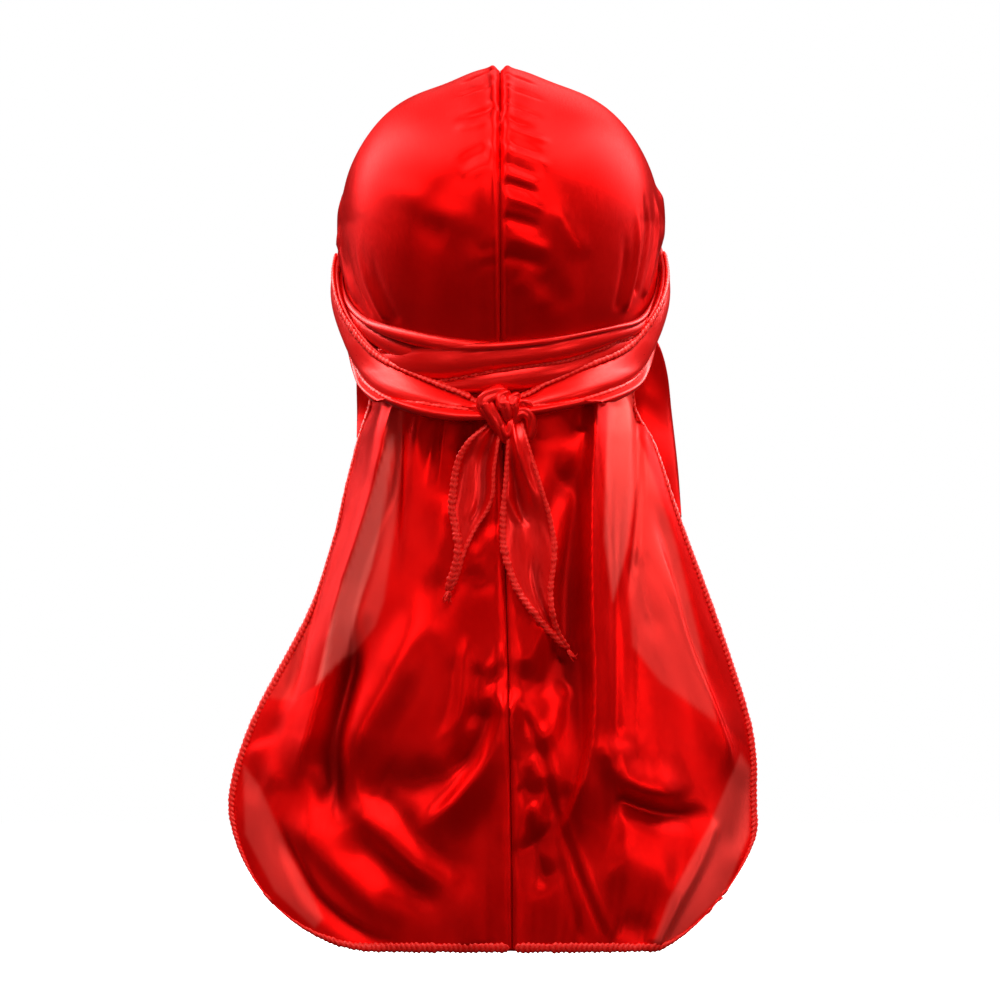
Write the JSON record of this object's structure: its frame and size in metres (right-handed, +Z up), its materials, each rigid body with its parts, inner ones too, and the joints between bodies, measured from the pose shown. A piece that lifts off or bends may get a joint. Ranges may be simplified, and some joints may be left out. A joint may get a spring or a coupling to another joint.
{
  "type": "durag",
  "caption": "Satin durag in its worn form: seamed crown with gathers, ties wrapped round it and knotted at the nape, and a long flared tail.",
  "frame": {"origin": "top of the head, on the inner face of the crown, where the head sits", "axes": "+Z up, +Y the way the wearer faces, +X the wearer's right"},
  "size_m": [0.2641, 0.2067, 0.4424],
  "materials": {
    "satin_panel": "shiny red polyester satin",
    "satin_tie": "shiny red polyester satin, pleated, with overlocked edges"
  },
  "bodies": {
    "root": {"panel_left": "satin_panel", "panel_right": "satin_panel", "tie_left": "satin_tie", "tie_right": "satin_tie", "knot": "satin_tie", "tie_end_left": "satin_tie", "tie_end_right": "satin_tie"}
  },
  "joints": []
}
